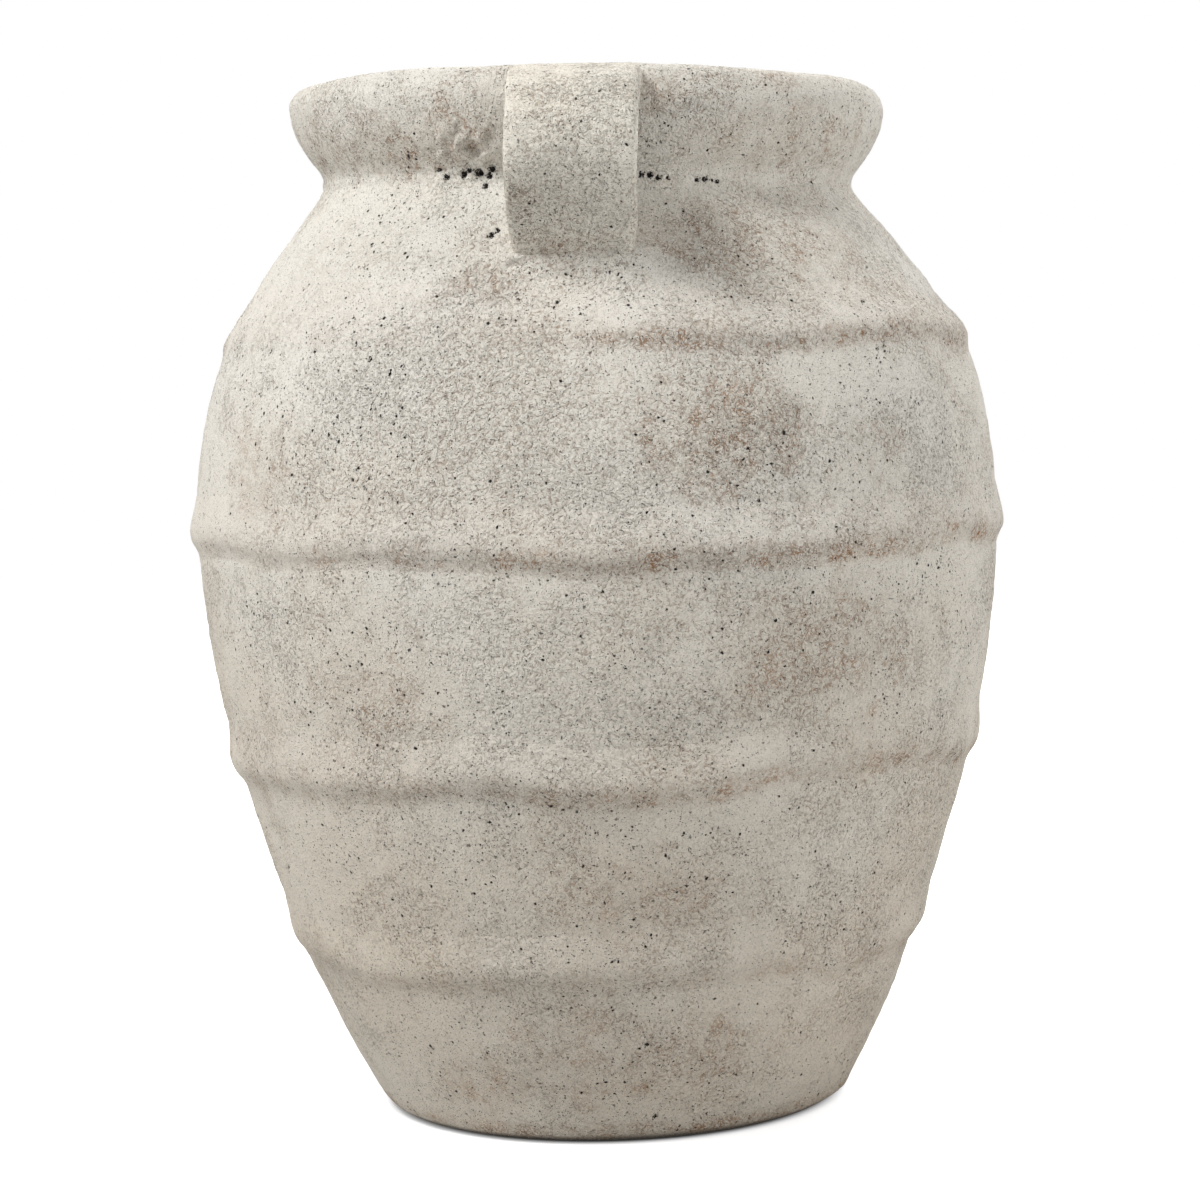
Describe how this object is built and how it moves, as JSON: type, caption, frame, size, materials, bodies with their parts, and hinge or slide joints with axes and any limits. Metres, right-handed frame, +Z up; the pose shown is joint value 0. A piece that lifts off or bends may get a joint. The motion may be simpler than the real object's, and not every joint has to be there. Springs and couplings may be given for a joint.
{
  "type": "two-handled storage jar",
  "caption": "Tall round clay storage jar of stacked wall rings with applied bands, a flared rim, and strap handles from lip to shoulder.",
  "frame": {"origin": "centre of the round foot, on the plane the jar stands on", "axes": "+Z up along the jar's axis; the handles are on -Y (front) and +Y (rear)"},
  "size_m": [0.3366, 0.3366, 0.422],
  "materials": {
    "wall_clay": "matte, sandy off-white slip over unglazed clay, with dark pinholes and brown stain",
    "band_clay": "matte, sandy off-white slip, browner along the lower edge",
    "handle_clay": "matte, coarse sandy off-white slip"
  },
  "bodies": {
    "root": {"floor_disc": "wall_clay", "foot_drum": "wall_clay", "lower_belly_drum": "wall_clay", "upper_belly_drum": "wall_clay", "shoulder_drum": "wall_clay", "shoulder_cone": "wall_clay", "rim_collar": "wall_clay", "foot_band": "band_clay", "lower_belly_band": "band_clay", "belly_band": "band_clay", "shoulder_band": "band_clay", "front_handle": "handle_clay", "rear_handle": "handle_clay"}
  },
  "joints": []
}
